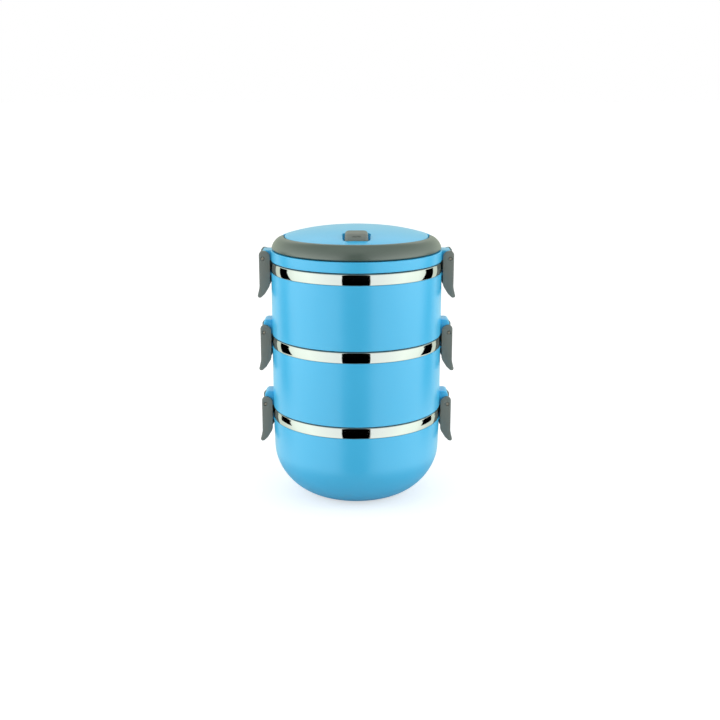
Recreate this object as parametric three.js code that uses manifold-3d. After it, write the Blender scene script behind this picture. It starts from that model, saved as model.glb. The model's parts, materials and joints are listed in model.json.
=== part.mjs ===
// A three-tier insulated lunch carrier. Each container is a drawn steel bowl whose collar folds over
// the neck of a plastic shell. The underside of every tier, and of the lid, plugs the bowl beneath it
// and carries a seal ring. Clips hinged on lugs at both sides hold the stack together, a bail handle
// folds down on the front of the domed lid, and a vent button lifts on its front slope.
//
// Millimetres, +Z up. The origin is the centre of the foot, and the handle lies to the front, at -Y.

import * as THREE from "three";
import { mergeVertices } from "three/addons/utils/BufferGeometryUtils.js";
import Module from "manifold-3d";

const wasm = await Module();
wasm.setup();

// ---- Driving dimensions ----

const BODY_R = 72.5; // outside of every shell and of the lid's skirt
const WALL = 2; // plastic wall
const STEEL = 0.8; // steel sheet
const GAP = 0.3; // clearance between pieces that touch
const SEAM = 0.6; // open line between a tier and the rim under it

const BASE_HEIGHT = 77; // foot to the rim of the bottom bowl
const TIER_PITCH = 63.7; // rim to rim
const BAND_HEIGHT = 9.1; // bare steel collar under each rim
const COLLAR_R = BODY_R + 0.1;
const NECK_R = COLLAR_R - STEEL - GAP;
const NECK_DROP = 1.8; // top of the neck below the rim
const SHELL_INNER_R = NECK_R - 1.6;

const PLUG_R = 65.6; // the part of an underside that enters the bowl below
const PLUG_DROP = 2;
const GROOVE_INNER_R = PLUG_R + 1.3;
const GROOVE_OUTER_R = BODY_R - 1.8;
const GROOVE_DEPTH = 3.7;
const SEAL_BORE_R = GROOVE_INNER_R + GAP;
const STEP_R = 63.6; // floor recess above an underside, which takes the bowl's bottom
const STEP_HEIGHT = 6;

const FOOT_R = 33;
const FOOT_RECESS = 1.2;
const BOWL_TOP = 41.2; // where the bottom shell's curve meets its straight wall
const BOWL_WALL_R = 71.7;
const BOWL_CURVE = 1.8; // exponent of the superellipse, 2 being an ellipse

const LEDGE = 9.4; // shelf of the lid that the handle lies on
const HUB_WALL_R = 60.6; // upright wall inside the handle
const DOME_TOP = 27.8;
const DOME_EDGE = 20.4; // height of the dome where the shoulder starts
const DOME_CURVE = 2.6; // exponent of its fall towards the edge
const CREST_R = 62; // where the dome turns over into the shoulder
const HANDLE_INNER_R = 61.4;
const HANDLE_OUTER_R = 71.8;
const HANDLE_BOTTOM = LEDGE + 0.8;
const HANDLE_CREST = 20.4;
const HANDLE_RISE = 1.6; // how much taller the handle is at its middle than at its ends
const SHOULDER_CURVE = 1.6;
const PIVOT_HEIGHT = 14.6; // handle's axis above the lid's rim plane
const TRUNNION_R = 1.7;
const HUB_R = 7; // rounding of the top of the handle's ends about its axis
const HUB_BACK = 4.8; // rounding underneath, and how far the ends reach behind the axis

const VENT_Y = -41; // the button is on the front slope of the dome
const VENT_WIDTH = 22;
const VENT_DEPTH = 19;
const VENT_HEIGHT = 4.9; // above the dome
const VENT_POCKET = 1.6; // below the dome
const VENT_STEM_R = 4;
const VENT_HOLE_R = 3;
const VENT_SEAL_R = 5;
const VENT_SEAL_HEIGHT = 2.5;

const PIN_X = 79;
const PIN_Z = 2.6; // clip's axis above the rim plane
const PIN_R = 1.3;
const CLIP_WIDTH = 24;
const CLIP_INNER_X = 73;
const CLIP_OUTER_X = 82;
const CLIP_CHEEK = 2.8;
const CLIP_WALL = 2.2;
const CLIP_HEAD_R = 6.6;
const LUG_WIDTH = CLIP_WIDTH - 2 * CLIP_CHEEK - 0.8;
const LUG_NOSE_R = 2.8;
const LUG_FACE_X = 79.5;
const LUG_ROUND = 3.5;
const LUG_ROOT_X = 71.2; // inside the shell's wall
const LID_LUG_TOP = 9.2;
const TIER_LUG_TOP = 13.3;
const CATCH_WIDTH = LUG_WIDTH - 0.4;
const CATCH_X = 76.3;
const CATCH_TOP = -BAND_HEIGHT - 0.8;
const CATCH_HEIGHT = 2.2;

const AROUND = 40; // facets of a round piece
const AROUND_SMALL = 12;

// ---- Materials ----

const plastic = (color, roughness) => new THREE.MeshStandardMaterial({ color, roughness, metalness: 0 });
const blue = plastic(0x5cc4ee, 0.32);
const grey = plastic(0x6c706c, 0.42);
const white = plastic(0xe8ecee, 0.4);
const silicone = plastic(0xd9dde0, 0.7);
const steel = new THREE.MeshStandardMaterial({ color: 0xd8d8d4, roughness: 0.08, metalness: 1 });

// ---- Solids ----

function solid(geometry) {
  const bare = geometry.index ? geometry.toNonIndexed() : geometry.clone();
  bare.deleteAttribute("normal");
  bare.deleteAttribute("uv");
  const merged = mergeVertices(bare, 1e-3);
  return new wasm.Manifold(
    new wasm.Mesh({
      numProp: 3,
      vertProperties: merged.attributes.position.array,
      triVerts: new Uint32Array(merged.index.array),
    }),
  );
}

function geometryOf(manifold) {
  const mesh = manifold.getMesh();
  const geometry = new THREE.BufferGeometry();
  geometry.setAttribute("position", new THREE.BufferAttribute(mesh.vertProperties, 3));
  geometry.setIndex(new THREE.BufferAttribute(mesh.triVerts, 1));
  return geometry;
}

function piece(name, manifold, material) {
  const mesh = new THREE.Mesh(geometryOf(manifold), material);
  mesh.name = name;
  return mesh;
}

const twiceArea = (points) =>
  points.reduce((sum, [r, z], i) => {
    const [nextR, nextZ] = points[(i + 1) % points.length];
    return sum + r * nextZ - nextR * z;
  }, 0);

// A profile of [radius, height] points turned about +Z. It closes on itself unless it ends on the axis.
// A rise, where given, moves each point up by what it returns for the point's Y and height.
function turned(profile, facets = AROUND, rise = null) {
  const points = twiceArea(profile) > 0 ? [...profile] : [...profile].reverse();
  const onAxis = points.findIndex(([r]) => r === 0);
  if (onAxis < 0) {
    points.push(points[0]);
  } else {
    const start = points[(onAxis + 1) % points.length][0] === 0 ? onAxis + 1 : onAxis;
    points.push(...points.splice(0, start));
  }
  const lathe = new THREE.LatheGeometry(
    points.map(([r, z]) => new THREE.Vector2(r, z)),
    facets,
  ).rotateX(Math.PI / 2);
  const place = lathe.attributes.position;
  for (let i = 0; rise && i < place.count; i += 1) {
    place.setZ(i, place.getZ(i) + rise(place.getY(i), place.getZ(i)));
  }
  return solid(lathe);
}

// An outline in the X-Z plane, extruded along Y and centred on it.
function slab(outline, width) {
  const shape = new THREE.Shape(outline.map(([x, z]) => new THREE.Vector2(x, z)));
  const geometry = new THREE.ExtrudeGeometry(shape, { depth: width, bevelEnabled: false });
  return solid(geometry.rotateX(Math.PI / 2).translate(0, width / 2, 0));
}

function block(low, high) {
  const size = high.map((v, i) => v - low[i]);
  const middle = high.map((v, i) => (v + low[i]) / 2);
  return solid(new THREE.BoxGeometry(...size).translate(...middle));
}

// A round bar from one point to another along X, Y or Z.
function bar(radius, length, axis, centre, facets = AROUND_SMALL) {
  const geometry = new THREE.CylinderGeometry(radius, radius, length, facets);
  if (axis === "x") geometry.rotateZ(Math.PI / 2);
  if (axis === "z") geometry.rotateX(Math.PI / 2);
  return solid(geometry.translate(...centre));
}

// A rectangle with rounded corners, extruded square to the dome where the vent button is. Heights
// are measured from the dome's surface.
function onVent(width, depth, corner, from, to) {
  const x = width / 2 - corner;
  const y = depth / 2 - corner;
  const shape = new THREE.Shape();
  shape.absarc(x, y, corner, 0, Math.PI / 2);
  shape.absarc(-x, y, corner, Math.PI / 2, Math.PI);
  shape.absarc(-x, -y, corner, Math.PI, 1.5 * Math.PI);
  shape.absarc(x, -y, corner, 1.5 * Math.PI, 2 * Math.PI);
  const settings = { depth: to - from, bevelEnabled: false, curveSegments: 4 };
  const geometry = new THREE.ExtrudeGeometry(shape, settings).translate(0, 0, from);
  return solid(geometry.rotateX(VENT_SLOPE).translate(0, VENT_Y, domeHeight(VENT_Y)));
}

// ---- Profiles ----

const arc = (x, z, radius, from, to, steps) =>
  Array.from({ length: steps + 1 }, (_, i) => {
    const angle = THREE.MathUtils.degToRad(from + ((to - from) * i) / steps);
    return [x + radius * Math.cos(angle), z + radius * Math.sin(angle)];
  });

// A quarter of a superellipse, from the flat at [innerR, lowZ] out to the upright at [outerR, highZ].
const bowlCurve = (innerR, outerR, lowZ, highZ, exponent, steps) =>
  Array.from({ length: steps + 1 }, (_, i) => {
    const angle = (Math.PI / 2) * (i / steps);
    const across = Math.sin(angle) ** (2 / exponent);
    const up = Math.cos(angle) ** (2 / exponent);
    return [innerR + (outerR - innerR) * across, highZ - (highZ - lowZ) * up];
  });

// The same path moved sideways, to its left when distance is positive. Points on the axis stay on it.
function offsetPath(path, distance) {
  const leftOf = ([x1, y1], [x2, y2]) => {
    const length = Math.hypot(x2 - x1, y2 - y1);
    return [(y1 - y2) / length, (x2 - x1) / length];
  };
  return path.map(([x, y], i) => {
    const before = leftOf(path[Math.max(i - 1, 0)], path[Math.max(i, 1)]);
    const after = leftOf(path[Math.min(i, path.length - 2)], path[Math.min(i + 1, path.length - 1)]);
    const mitre = 1 + before[0] * after[0] + before[1] * after[1];
    const movedX = x + ((before[0] + after[0]) * distance) / mitre;
    return [x === 0 ? 0 : movedX, y + ((before[1] + after[1]) * distance) / mitre];
  });
}

const sheet = (middle, thickness) => [
  ...offsetPath(middle, -thickness / 2),
  ...offsetPath(middle, thickness / 2).reverse(),
];

// Shoulder section shared by the handle and the back of the lid: a rounded outside and a crest.
const shoulder = (bottom, crest, outerR, steps, crestR = CREST_R) =>
  bowlCurve(crestR, outerR, crest, bottom, SHOULDER_CURVE, steps).reverse();

const domeHeight = (r) => DOME_TOP - (DOME_TOP - DOME_EDGE) * (Math.abs(r) / CREST_R) ** DOME_CURVE;

// The slope of the dome where the vent button is, in radians.
const VENT_SLOPE = Math.atan(domeHeight(VENT_Y + 0.5) - domeHeight(VENT_Y - 0.5));

// ---- Containers ----

// Collar of a bowl: over the neck, and down outside it as the bare steel band.
const collar = (rim) => [
  [67, rim - 2],
  [68.2, rim - STEEL / 2],
  [70.9, rim - STEEL / 2],
  [COLLAR_R - STEEL / 2, rim - 1.6],
  [COLLAR_R - STEEL / 2, rim - BAND_HEIGHT],
];

const bowl = (floor, floorR, wallR, wallBottom, exponent, rim) =>
  turned(
    sheet([[0, floor], ...bowlCurve(floorR, wallR, floor, wallBottom, exponent, 4), ...collar(rim)], STEEL),
  );

// Neck that stands inside the collar, from the shoulder under the band up and over to the inner wall.
const neck = (rim) => [
  [BODY_R, rim - BAND_HEIGHT - GAP],
  [NECK_R, rim - BAND_HEIGHT - GAP],
  [NECK_R, rim - NECK_DROP],
  [SHELL_INNER_R, rim - NECK_DROP],
];

// Underside of a tier, from the axis out to the skirt, with the plug and the groove of its seal.
const underside = [
  [PLUG_R - 1.4, -PLUG_DROP],
  [PLUG_R, -PLUG_DROP + 1.4],
  [PLUG_R, SEAM],
  [GROOVE_INNER_R, SEAM],
  [GROOVE_INNER_R, GROOVE_DEPTH],
];

const catchBar = (rim) =>
  slab(
    [
      [LUG_ROOT_X, rim + CATCH_TOP - CATCH_HEIGHT],
      [CATCH_X, rim + CATCH_TOP - CATCH_HEIGHT],
      [CATCH_X, rim + CATCH_TOP - 1],
      [CATCH_X - 1.2, rim + CATCH_TOP],
      [LUG_ROOT_X, rim + CATCH_TOP],
    ],
    CATCH_WIDTH,
  );

const lug = (top) =>
  slab(
    [
      [LUG_ROOT_X, SEAM + GAP],
      [PIN_X - 3.4, SEAM + GAP],
      ...arc(PIN_X, PIN_Z, LUG_NOSE_R, -140, 45, 8),
      [LUG_FACE_X, PIN_Z + LUG_NOSE_R + 1],
      ...arc(LUG_FACE_X - LUG_ROUND, top - LUG_ROUND, LUG_ROUND, 0, 90, 4),
      [LUG_ROOT_X, top],
    ],
    LUG_WIDTH,
  ).subtract(bar(PIN_R + GAP, CLIP_WIDTH, "y", [PIN_X, 0, PIN_Z]));

const onBothSides = (manifold) => manifold.add(manifold.rotate([0, 0, 180]));

function tierShell() {
  const cup = turned([
    [0, -PLUG_DROP],
    ...underside,
    [GROOVE_OUTER_R, GROOVE_DEPTH],
    [GROOVE_OUTER_R, SEAM],
    [BODY_R, SEAM],
    ...neck(TIER_PITCH),
    [SHELL_INNER_R, STEP_HEIGHT],
    [STEP_R, STEP_HEIGHT],
    [STEP_R, -PLUG_DROP + 2.2],
    [0, -PLUG_DROP + 2.2],
  ]);
  return cup.add(onBothSides(lug(TIER_LUG_TOP))).add(onBothSides(catchBar(TIER_PITCH)));
}

const tierBowl = () => bowl(1.6, 52, 65.8, 18, 2, TIER_PITCH);

function bottomShell() {
  const cup = turned([
    [0, FOOT_RECESS],
    [FOOT_R - 4, FOOT_RECESS],
    [FOOT_R - 3, 0],
    ...bowlCurve(FOOT_R, BOWL_WALL_R, 0, BOWL_TOP, BOWL_CURVE, 8),
    ...neck(BASE_HEIGHT),
    ...bowlCurve(FOOT_R, SHELL_INNER_R, 3.2, BOWL_TOP, BOWL_CURVE, 5).reverse(),
    [0, 3.2],
  ]);
  return cup.add(onBothSides(catchBar(BASE_HEIGHT)));
}

const bottomBowl = () => bowl(7, 28, 66.2, 45, BOWL_CURVE, BASE_HEIGHT);

const sealRing = () =>
  turned([
    [SEAL_BORE_R, GAP],
    [SEAL_BORE_R + 3, GAP],
    [SEAL_BORE_R + 3, GROOVE_DEPTH - GAP],
    [SEAL_BORE_R, GROOVE_DEPTH - GAP],
  ]);

// ---- Lid ----

// The dome from its edge to the axis, or its underside when it is lowered.
const dome = (edgeR, lowered = 0) =>
  [1, 0.87, 0.72, 0.56, 0.38, 0].map((share) => [edgeR * share, domeHeight(edgeR * share) - lowered]);

function lidShell() {
  const cap = turned([
    [BODY_R, SEAM],
    [BODY_R, LEDGE - 0.4],
    [BODY_R - 0.4, LEDGE],
    [HUB_WALL_R, LEDGE],
    ...dome(HUB_WALL_R),
    ...dome(HUB_WALL_R - 2.2, WALL).reverse(),
    [HUB_WALL_R - 2.2, LEDGE - WALL],
    [BODY_R - WALL, LEDGE - WALL],
    [BODY_R - WALL, SEAM],
  ]);
  const notch = HUB_R + 0.4;
  const behindHandle = block([-BODY_R, 0, 0], [BODY_R, BODY_R, 2 * DOME_TOP])
    .subtract(bar(notch, 2 * BODY_R, "x", [0, 0, PIVOT_HEIGHT], 24))
    .subtract(block([-BODY_R, -notch, PIVOT_HEIGHT], [BODY_R, notch, 3 * DOME_TOP]));
  const raised = turned([
    [HUB_WALL_R - 0.4, LEDGE - 0.4],
    ...shoulder(LEDGE - 0.4, DOME_EDGE, BODY_R - 0.4, 5),
    [HUB_WALL_R - 0.4, DOME_EDGE],
  ]).intersect(behindHandle);
  const hollow = turned([
    [HUB_WALL_R + 1.8, LEDGE - WALL - 1],
    ...shoulder(LEDGE - WALL - 1, DOME_EDGE - WALL, BODY_R - WALL - 0.6, 3, CREST_R + 1.4),
    [HUB_WALL_R + 1.8, DOME_EDGE - WALL],
  ]).intersect(block([-BODY_R, HUB_R + 3, 0], [BODY_R, BODY_R, 2 * DOME_TOP]));
  const bearing = bar(TRUNNION_R + GAP, 2 * BODY_R, "x", [0, 0, PIVOT_HEIGHT]);
  const ventPad = onVent(VENT_WIDTH + 5, VENT_DEPTH + 5, 6, -VENT_POCKET - WALL, -WALL / 2);
  const ventPocket = onVent(VENT_WIDTH + 1.2, VENT_DEPTH + 1.2, 4.6, -VENT_POCKET, VENT_HEIGHT);
  return cap
    .add(raised)
    .add(ventPad)
    .subtract(ventPocket)
    .subtract(bar(VENT_STEM_R + 0.4, 2 * DOME_TOP, "z", [0, VENT_Y, DOME_TOP]))
    .subtract(hollow)
    .subtract(bearing.intersect(block([-HUB_WALL_R - 1, -9, 0], [HUB_WALL_R + 1, 9, 30])))
    .add(onBothSides(lug(LID_LUG_TOP)));
}

const lidLiner = () =>
  turned([
    [0, -PLUG_DROP],
    ...underside,
    [BODY_R - WALL - GAP, GROOVE_DEPTH],
    [BODY_R - WALL - GAP, GROOVE_DEPTH + WALL],
    [STEP_R + 0.9, GROOVE_DEPTH + WALL],
    [STEP_R, -PLUG_DROP + 2.2],
    [0, -PLUG_DROP + 2.2],
  ]).subtract(bar(VENT_HOLE_R, 3 * PLUG_DROP, "z", [0, VENT_Y, -1]));

// How far the handle's upper part rises above a plain ring, growing from its ends to its middle.
const handleRise = (y, z) =>
  ((HANDLE_RISE * Math.max(-y, 0)) / CREST_R) * ((z - HANDLE_BOTTOM) / (HANDLE_CREST - HANDLE_BOTTOM));

function handle() {
  const section = [
    [HANDLE_INNER_R, HANDLE_BOTTOM],
    ...shoulder(HANDLE_BOTTOM, HANDLE_CREST, HANDLE_OUTER_R, 5),
    [HANDLE_INNER_R, HANDLE_CREST - 0.5],
  ];
  const ring = turned(section, AROUND, handleRise);
  const front = block([-BODY_R, -BODY_R, 0], [BODY_R, 0, 2 * HANDLE_CREST]);
  const upperEnds = bar(HUB_R, 2 * BODY_R, "x", [0, 0, PIVOT_HEIGHT], 24).intersect(
    block([-BODY_R, -1, PIVOT_HEIGHT], [BODY_R, HUB_BACK, 2 * HANDLE_CREST]),
  );
  const ends = upperEnds.add(bar(HUB_BACK, 2 * BODY_R, "x", [0, 0, PIVOT_HEIGHT], 24));
  const trunnionLength = 5;
  const trunnion = bar(TRUNNION_R, trunnionLength, "x", [
    HANDLE_INNER_R + 1 - trunnionLength / 2,
    0,
    PIVOT_HEIGHT,
  ]);
  return ring.intersect(front.add(ends)).add(onBothSides(trunnion));
}

function ventKnob() {
  const button = onVent(VENT_WIDTH, VENT_DEPTH, 4, -VENT_POCKET + GAP, VENT_HEIGHT - 1);
  const crown = onVent(VENT_WIDTH - 1.6, VENT_DEPTH - 1.6, 3.4, VENT_HEIGHT - 1.1, VENT_HEIGHT);
  const stemFoot = VENT_SEAL_HEIGHT + 2 * GAP + 0.2;
  const stemLength = domeHeight(VENT_Y) + 1 - stemFoot;
  const stem = bar(VENT_STEM_R, stemLength, "z", [0, VENT_Y, stemFoot + stemLength / 2]);
  return button.add(crown).add(stem);
}

const ventSeal = () =>
  bar(VENT_SEAL_R, VENT_SEAL_HEIGHT, "z", [0, VENT_Y, 0.2 + GAP + VENT_SEAL_HEIGHT / 2]);

// ---- Clips ----

// Seen from the front: a head rounded about the pin, a straight back, and a tab that flares out.
const clipOutline = [
  [CLIP_INNER_X, -19.3],
  ...arc(PIN_X, PIN_Z, CLIP_HEAD_R, 155, 75, 6),
  ...arc(CLIP_OUTER_X - 2, PIN_Z + 4, 2, 60, 0, 2),
  [CLIP_OUTER_X, -21],
  [CLIP_OUTER_X + 0.5, -26],
  [CLIP_OUTER_X + 1.7, -29.4],
  [CLIP_OUTER_X + 0.8, -30.6],
  [CLIP_OUTER_X - 1.2, -30.6],
  [CLIP_OUTER_X - 4.2, -27.9],
  [CLIP_OUTER_X - 6.8, -24],
];

// What is cut from between the cheeks: the fork round the lug, and the channel behind the back.
const clipPocket = [
  [CLIP_INNER_X - 3, -30],
  [CLIP_OUTER_X - CLIP_WALL - 2.2, -27.4],
  [CLIP_OUTER_X - CLIP_WALL, -23],
  [CLIP_OUTER_X - CLIP_WALL, -1.4],
  [CLIP_OUTER_X + 3, -1.4],
  [CLIP_OUTER_X + 3, 14],
  [CLIP_INNER_X - 3, 14],
];

function clip() {
  const hook = slab(
    [
      [CATCH_X + 0.4, CATCH_TOP - CATCH_HEIGHT - 0.6],
      [CLIP_OUTER_X - 1, CATCH_TOP - CATCH_HEIGHT - 0.6],
      [CLIP_OUTER_X - 1, CATCH_TOP - CATCH_HEIGHT - 5],
      [CATCH_X + 0.9, CATCH_TOP - CATCH_HEIGHT - 2.8],
    ],
    CLIP_WIDTH - 2 * CLIP_CHEEK + 0.4,
  );
  return slab(clipOutline, CLIP_WIDTH)
    .subtract(slab(clipPocket, CLIP_WIDTH - 2 * CLIP_CHEEK))
    .add(hook)
    .subtract(bar(PIN_R + GAP, CLIP_WIDTH + 2, "y", [PIN_X, 0, PIN_Z]));
}

const clipPin = () => bar(PIN_R, CLIP_WIDTH - 0.6, "y", [PIN_X, 0, PIN_Z]);

// ---- Assembly ----

// A clip and its pin on each side of a tier, in the frame of the rim that the tier sits on.
function clips(tier) {
  const pair = new THREE.Group();
  for (const [side, turn] of [["right", 0], ["left", Math.PI]]) {
    const one = new THREE.Group();
    one.rotation.z = turn;
    one.add(piece(`${tier}_clip_${side}`, clip(), grey));
    one.add(piece(`${tier}_clip_pin_${side}`, clipPin(), steel));
    pair.add(one);
  }
  return pair;
}

function tier(name) {
  const group = new THREE.Group();
  group.add(piece(`${name}_shell`, tierShell(), blue));
  group.add(piece(`${name}_bowl`, tierBowl(), steel));
  group.add(piece(`${name}_seal`, sealRing(), silicone));
  group.add(clips(name));
  return group;
}

function lid() {
  const group = new THREE.Group();
  group.add(piece("lid_shell", lidShell(), blue));
  group.add(piece("lid_liner", lidLiner(), white));
  group.add(piece("lid_seal", sealRing(), silicone));
  group.add(piece("handle", handle(), grey));
  group.add(piece("vent_knob", ventKnob(), grey));
  group.add(piece("vent_seal", ventSeal(), silicone));
  group.add(clips("lid"));
  return group;
}

const carrier = new THREE.Group();
carrier.add(piece("bottom_shell", bottomShell(), blue));
carrier.add(piece("bottom_bowl", bottomBowl(), steel));

const stack = [tier("middle"), tier("top"), lid()];
stack.forEach((part, i) => {
  part.position.z = BASE_HEIGHT + i * TIER_PITCH;
  carrier.add(part);
});

export default carrier;
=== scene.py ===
import json
from math import asin, atan, cos, hypot, pi, radians, sin, sqrt, tan

import bmesh
import bpy
from mathutils import Matrix, Vector


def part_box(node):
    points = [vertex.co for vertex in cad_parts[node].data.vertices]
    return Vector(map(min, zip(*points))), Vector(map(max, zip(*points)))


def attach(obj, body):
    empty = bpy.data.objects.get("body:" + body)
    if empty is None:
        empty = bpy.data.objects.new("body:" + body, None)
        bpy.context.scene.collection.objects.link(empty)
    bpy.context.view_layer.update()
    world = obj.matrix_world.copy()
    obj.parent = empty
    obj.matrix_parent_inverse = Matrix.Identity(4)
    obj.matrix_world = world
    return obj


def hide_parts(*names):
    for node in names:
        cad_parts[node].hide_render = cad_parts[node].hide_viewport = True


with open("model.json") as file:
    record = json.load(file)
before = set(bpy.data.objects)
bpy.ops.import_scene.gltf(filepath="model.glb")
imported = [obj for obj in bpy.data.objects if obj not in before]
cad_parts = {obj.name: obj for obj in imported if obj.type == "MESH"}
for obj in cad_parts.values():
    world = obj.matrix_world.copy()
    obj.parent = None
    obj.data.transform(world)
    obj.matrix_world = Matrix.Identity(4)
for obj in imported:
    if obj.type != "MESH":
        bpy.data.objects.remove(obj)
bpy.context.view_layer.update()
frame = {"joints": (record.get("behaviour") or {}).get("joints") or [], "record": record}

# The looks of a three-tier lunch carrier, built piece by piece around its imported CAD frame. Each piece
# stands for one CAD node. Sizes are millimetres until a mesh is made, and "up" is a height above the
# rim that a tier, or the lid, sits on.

MM = 0.001


# ---- Driving sizes, from the frame ----

def box(node):
    """The lowest and highest corners of a CAD node, in millimetres."""
    return [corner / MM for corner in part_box(node)]


def box_in_lid(node):
    """The same, with heights above the rim that the lid sits on."""
    return [corner - Vector((0, 0, SITS_ON["lid"])) for corner in box(node)]


def joint_height(name):
    """The height of a hinge's axis, in millimetres."""
    return next(j for j in frame["joints"] if j["name"] == name)["pos_m"][2] / MM


RIM = {
    "bottom": box("bottom_bowl")[1].z,
    "middle": box("middle_bowl")[1].z,
    "top": box("top_bowl")[1].z,
}
SITS_ON = {"middle": RIM["bottom"], "top": RIM["middle"], "lid": RIM["top"]}
PITCH = RIM["top"] - RIM["middle"]
BODY_R = box("lid_shell")[1].y
COLLAR_R = box("bottom_bowl")[1].y
BODIES = frame["record"]["behaviour"]["bodies"]
BODY_OF = {node: body for body, nodes in BODIES.items() for node in nodes}

PIN_LOW, PIN_HIGH = box_in_lid("lid_clip_pin_right")
PIN_X = (PIN_LOW.x + PIN_HIGH.x) / 2
PIN_UP = (PIN_LOW.z + PIN_HIGH.z) / 2
PIN_R = (PIN_HIGH.x - PIN_LOW.x) / 2
CLIP_LOW, CLIP_HIGH = box_in_lid("lid_clip_right")
CLIP_WIDTH = CLIP_HIGH.y - CLIP_LOW.y
CLIP_INNER_X = CLIP_LOW.x
CLIP_FLARE = 1.75
CLIP_OUTER_X = CLIP_HIGH.x - 1.7
CATCH_X = box("bottom_shell")[1].x
PIVOT_UP = joint_height("handle_fold") - SITS_ON["lid"]
HANDLE_LOW, HANDLE_HIGH = box_in_lid("handle")
DOME_TOP = box("lid_shell")[1].z - SITS_ON["lid"]
VENT_WIDTH = box("vent_knob")[1].x - box("vent_knob")[0].x
VENT_Y = (box("vent_seal")[0].y + box("vent_seal")[1].y) / 2

# ---- Sizes that the frame's boxes don't hold ----

WALL = 2
STEEL = 0.8
GAP = 0.3
SEAM = 0.6
BAND_HEIGHT = 9.1
BAND_CROWN = 0.25
NECK_R = COLLAR_R - STEEL - BAND_CROWN - GAP
SHELL_INNER_R = NECK_R - 1.6
NECK_DROP = 1.8

# The underside that plugs the bowl below, with a groove for its seal.
PLUG_R = 65.6
PLUG_DROP = 2
GROOVE_INNER_R = PLUG_R + 1.3
GROOVE_DEPTH = 3.7
STEP_R = 63.6
PLUG_FLOOR = 0.2

# The bottom tier: a small foot under a round bowl.
FOOT_R = 33
BOWL_TOP = 41.2
BOWL_WALL_R = 71.7
BOWL_CURVE = 1.8
BOTTOM_FLOOR = 3.2

# The steel bowls, at the middle of their sheet.
COLLAR_INNER_R = 66.6
LOW_BOWL = {"floor": 7, "floor_r": 28, "wall_r": 66.2, "wall_low": 45, "exponent": BOWL_CURVE}
TIER_BOWL = {"floor": 1.6, "floor_r": 52, "wall_r": 65.8, "wall_low": 18, "exponent": 2}

# The lid: a dome inside the handle, on a wall that rises from the ledge the handle lies on.
LEDGE = 9.4
HUB_WALL_R = 60.6
DOME_EDGE = 20.4
DOME_CURVE = 2.6
CREST_R = 62
RAISED_R = BODY_R - 0.4
SHOULDER_INNER_R = 58.6
SHOULDER_CURVE = 1.8
EDGE_ROUNDING = 0.9
NOTCH_R = 7.4
HANDLE_INNER_R = 61.4
HANDLE_CURVE = 1.6
HANDLE_RISE = 1.6
HANDLE_HUB_R = 7
TRUNNION_R = 1.7

# The vent button. It leans by these shares of its height: its face goes back and its top falls behind.
BUTTON_WIDTH = VENT_WIDTH - 3
BUTTON_DEPTH = 19
BUTTON_HEIGHT = 4.7
BUTTON_SOFTNESS = 3.0
BUTTON_DRAFT = 0.5
BUTTON_LEAN = 0.35
BUTTON_FALL = 0.3
SLOT_UP = 2.6
POCKET_DEPTH = 4.5
POCKET_REACH = 2.4
POCKET_SPREAD = 1.04
POCKET_SIDE_GAP = 1.7
POCKET_END_GAP = 0.8
VENT_STEM_R = 4
VENT_STEM_FOOT = 3.3
VENT_HOLE_R = 3

CLIP_CHEEK = 2.8
CLIP_WALL = 2.2
CLIP_HEAD_R = 6.6
CLIP_ROUNDING = 0.55
LUG_WIDTH = CLIP_WIDTH - 2 * CLIP_CHEEK - 0.8
LUG_FACE_X = 79.5
LUG_ROOT_X = 71.2
LUG_NOSE_R = 2.8
LID_LUG_TOP = 9.2
TIER_LUG_TOP = 13.3
CATCH_TOP = -BAND_HEIGHT - 0.8
CATCH_HEIGHT = 2.2

AROUND = 192
ARC_STEPS = 5
BAND_STEPS = 24
SHARP_ANGLE = radians(34)
WELD_DISTANCE = 0.002


# ---- Outlines ----

def area_of(outline):
    """Twice an outline's area: positive when it runs counterclockwise."""
    return sum(a[0] * b[1] - b[0] * a[1] for a, b in zip(outline, outline[1:] + outline[:1]))


def rounded(corners, closed=True):
    """An outline of (x, z) or (x, z, radius) corners. A corner with a radius becomes an arc."""
    points = []
    count = len(corners)
    for i, (x, z, *radius) in enumerate(corners):
        here = Vector((x, z))
        ends = not closed and i in (0, count - 1)
        if ends or not radius or radius[0] == 0:
            points.append((x, z))
            continue
        before = Vector(corners[i - 1][:2]) - here
        after = Vector(corners[(i + 1) % count][:2]) - here
        half = before.angle(after) / 2
        reach = min(radius[0] / tan(half), 0.49 * before.length, 0.49 * after.length)
        first = here + before.normalized() * reach
        last = here + after.normalized() * reach
        centre = here + (before.normalized() + after.normalized()).normalized() * reach / cos(half)
        turn = (first - centre).angle_signed(last - centre)
        for step in range(ARC_STEPS + 1):
            spoke = (first - centre).copy()
            spoke.rotate(Matrix.Rotation(-turn * step / ARC_STEPS, 2))
            points.append(tuple(centre + spoke))
    return points


def arc(x, z, radius, start, end, steps):
    """Points on a circle, from one angle to another in degrees."""
    angles = [radians(start + (end - start) * i / steps) for i in range(steps + 1)]
    return [(x + radius * cos(a), z + radius * sin(a)) for a in angles]


def superellipse(inner_r, outer_r, low, high, exponent, steps):
    """A quarter of a superellipse, from flat at (inner_r, low) out to upright at (outer_r, high)."""
    points = []
    for i in range(steps + 1):
        a = pi / 2 * i / steps
        across = sin(a) ** (2 / exponent)
        rise = max(cos(a), 0) ** (2 / exponent)
        points.append((inner_r + (outer_r - inner_r) * across, high - (high - low) * rise))
    return points


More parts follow.
